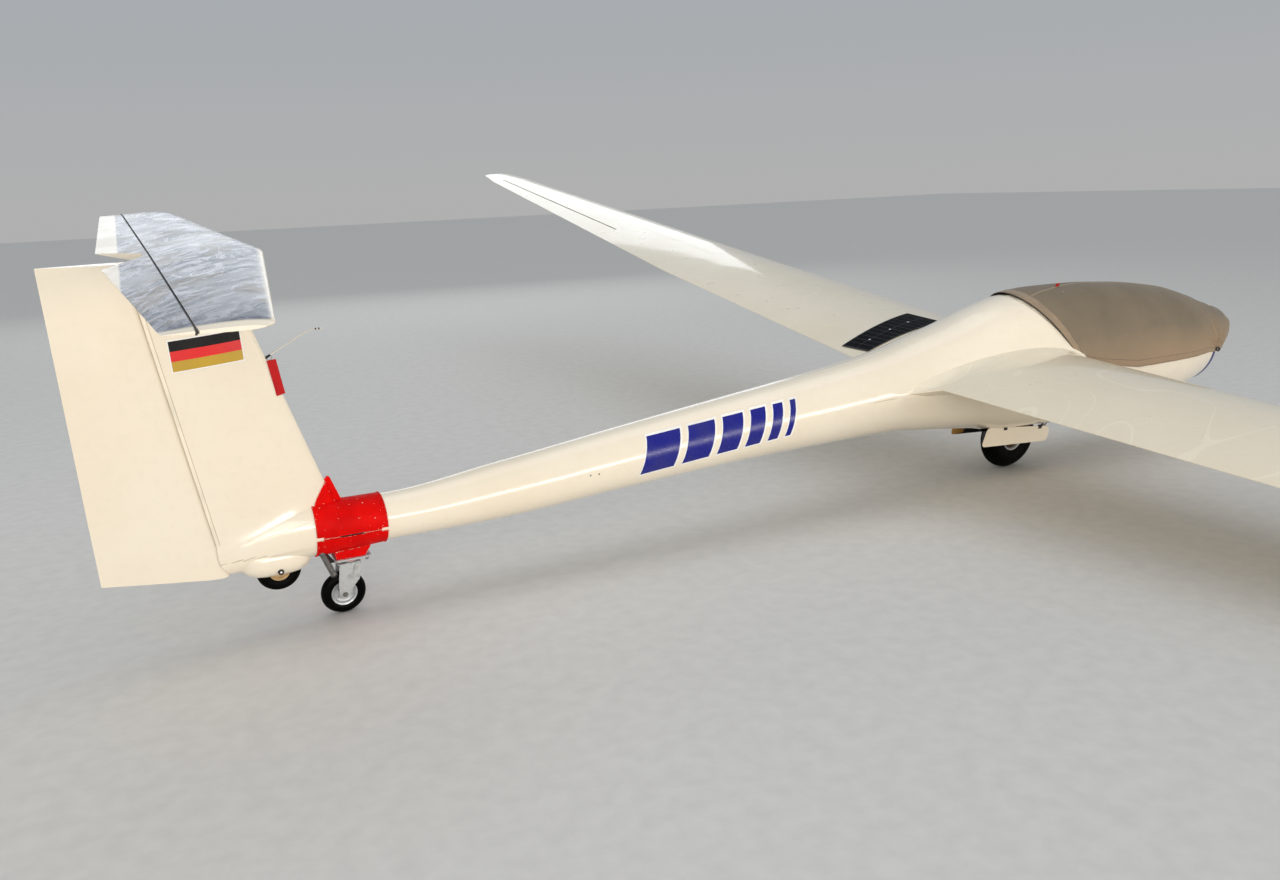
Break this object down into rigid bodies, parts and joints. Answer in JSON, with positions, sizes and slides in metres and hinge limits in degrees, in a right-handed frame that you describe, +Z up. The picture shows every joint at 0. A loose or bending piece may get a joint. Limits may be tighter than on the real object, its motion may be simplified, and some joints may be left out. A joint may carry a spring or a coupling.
{
  "type": "single-seat T-tail sailplane on a tail dolly",
  "caption": "Parked sailplane with long tapered wings, T-tail, fabric canopy cover, belly wheel with open doors and a red clamp-on tail dolly.",
  "frame": {"origin": "on the floor, in the middle of the aircraft's box seen from above", "axes": "+X to the nose, +Y to the port wing tip, +Z up; the aircraft stands rolled 6.8 degrees with the starboard tip on the floor"},
  "size_m": [6.473, 14.8968, 1.8322],
  "materials": {
    "gelcoat": "gloss",
    "glazing": "clear",
    "canopy_frame": "gloss",
    "cover_fabric": "woven",
    "interior": "matte",
    "zinc": "galvanised",
    "red_paint": "satin",
    "rim": "cast",
    "tyre": "matte",
    "skid_rubber": "matte",
    "solar_cells": "gloss",
    "steel": "satin"
  },
  "bodies": {
    "airframe": {"control_stick": "interior", "dolly_clamp": "red_paint", "dolly_lever": "zinc", "dolly_lug": "red_paint", "dolly_plate": "zinc", "fin": "gelcoat", "fin_probe": "steel", "fuselage": "gelcoat", "gear_door_port": "gelcoat", "gear_door_starboard": "gelcoat", "instrument_panel": "interior", "main_gear_leg": "steel", "nose_cover": "cover_fabric", "seat_pan": "interior", "solar_panel": "solar_cells", "stabilizer": "gelcoat", "tail_axle": "steel", "tip_skid_port": "skid_rubber", "tip_skid_starboard": "skid_rubber", "wing_port": "gelcoat", "wing_starboard": "gelcoat"},
    "rudder": {"rudder": "gelcoat"},
    "elevator": {"elevator": "gelcoat"},
    "aileron_port": {"aileron_port": "gelcoat"},
    "aileron_starboard": {"aileron_starboard": "gelcoat"},
    "airbrake_port": {"airbrake_port": "gelcoat"},
    "airbrake_starboard": {"airbrake_starboard": "gelcoat"},
    "canopy": {"canopy_frame": "canopy_frame", "canopy_glass": "glazing", "canopy_cover": "cover_fabric"},
    "main_wheel": {"main_wheel_rim": "rim", "main_tyre": "tyre"},
    "tail_wheel": {"tail_wheel_rim": "rim", "tail_tyre": "tyre"},
    "caster": {"dolly_swivel": "zinc", "caster_fork": "zinc"},
    "caster_wheel": {"caster_rim": "rim", "caster_tyre": "tyre"}
  },
  "joints": [
    {"name": "rudder_turn", "type": "hinge", "parent": "airframe", "child": "rudder", "pos_m": [-2.7855, 0.0804, 0.26016], "axis": [-0.1671, -0.1167, 0.979], "range_deg": [-30, 30]},
    {"name": "elevator_turn", "type": "hinge", "parent": "airframe", "child": "elevator", "pos_m": [-2.8965, -0.06334, 1.46562], "axis": [0, 0.993, 0.1184], "range_deg": [-20, 25]},
    {"name": "aileron_port_turn", "type": "hinge", "parent": "airframe", "child": "aileron_port", "pos_m": [0.969, 3.93893, 1.26188], "axis": [0.0738, 0.9848, 0.157], "range_deg": [-18, 18]},
    {"name": "aileron_starboard_turn", "type": "hinge", "parent": "airframe", "child": "aileron_starboard", "pos_m": [0.969, -3.90549, 0.32649], "axis": [0.0738, -0.9941, -0.079], "range_deg": [-18, 18]},
    {"name": "airbrake_port_rise", "type": "slide", "parent": "airframe", "child": "airbrake_port", "axis": [0, -0.1184, 0.993], "range_m": [0, 0.085]},
    {"name": "airbrake_starboard_rise", "type": "slide", "parent": "airframe", "child": "airbrake_starboard", "axis": [0, -0.1184, 0.993], "range_m": [0, 0.085]},
    {"name": "canopy_lift", "type": "hinge", "parent": "airframe", "child": "canopy", "pos_m": [2.9705, 0.0167, 0.79437], "axis": [0, 0.993, 0.1184], "range_deg": [0, 60]},
    {"name": "main_wheel_spin", "type": "hinge", "parent": "airframe", "child": "main_wheel", "pos_m": [1.4105, 0.09006, 0.17916], "axis": [0, 0.993, 0.1184], "continuous": true},
    {"name": "tail_wheel_spin", "type": "hinge", "parent": "airframe", "child": "tail_wheel", "pos_m": [-2.5795, 0.08265, 0.24129], "axis": [0, 0.993, 0.1184], "continuous": true},
    {"name": "caster_swivel", "type": "hinge", "parent": "airframe", "child": "caster", "pos_m": [-2.3075, 0.08513, 0.22044], "axis": [0, -0.1184, 0.993], "continuous": true},
    {"name": "caster_wheel_spin", "type": "hinge", "parent": "caster", "child": "caster_wheel", "pos_m": [-2.3395, 0.10074, 0.08954], "axis": [0, 0.993, 0.1184], "continuous": true}
  ],
  "couplings": [
    {"joint": "aileron_starboard_turn", "follows": "aileron_port_turn", "ratio": 1},
    {"joint": "airbrake_starboard_rise", "follows": "airbrake_port_rise", "ratio": 1}
  ]
}
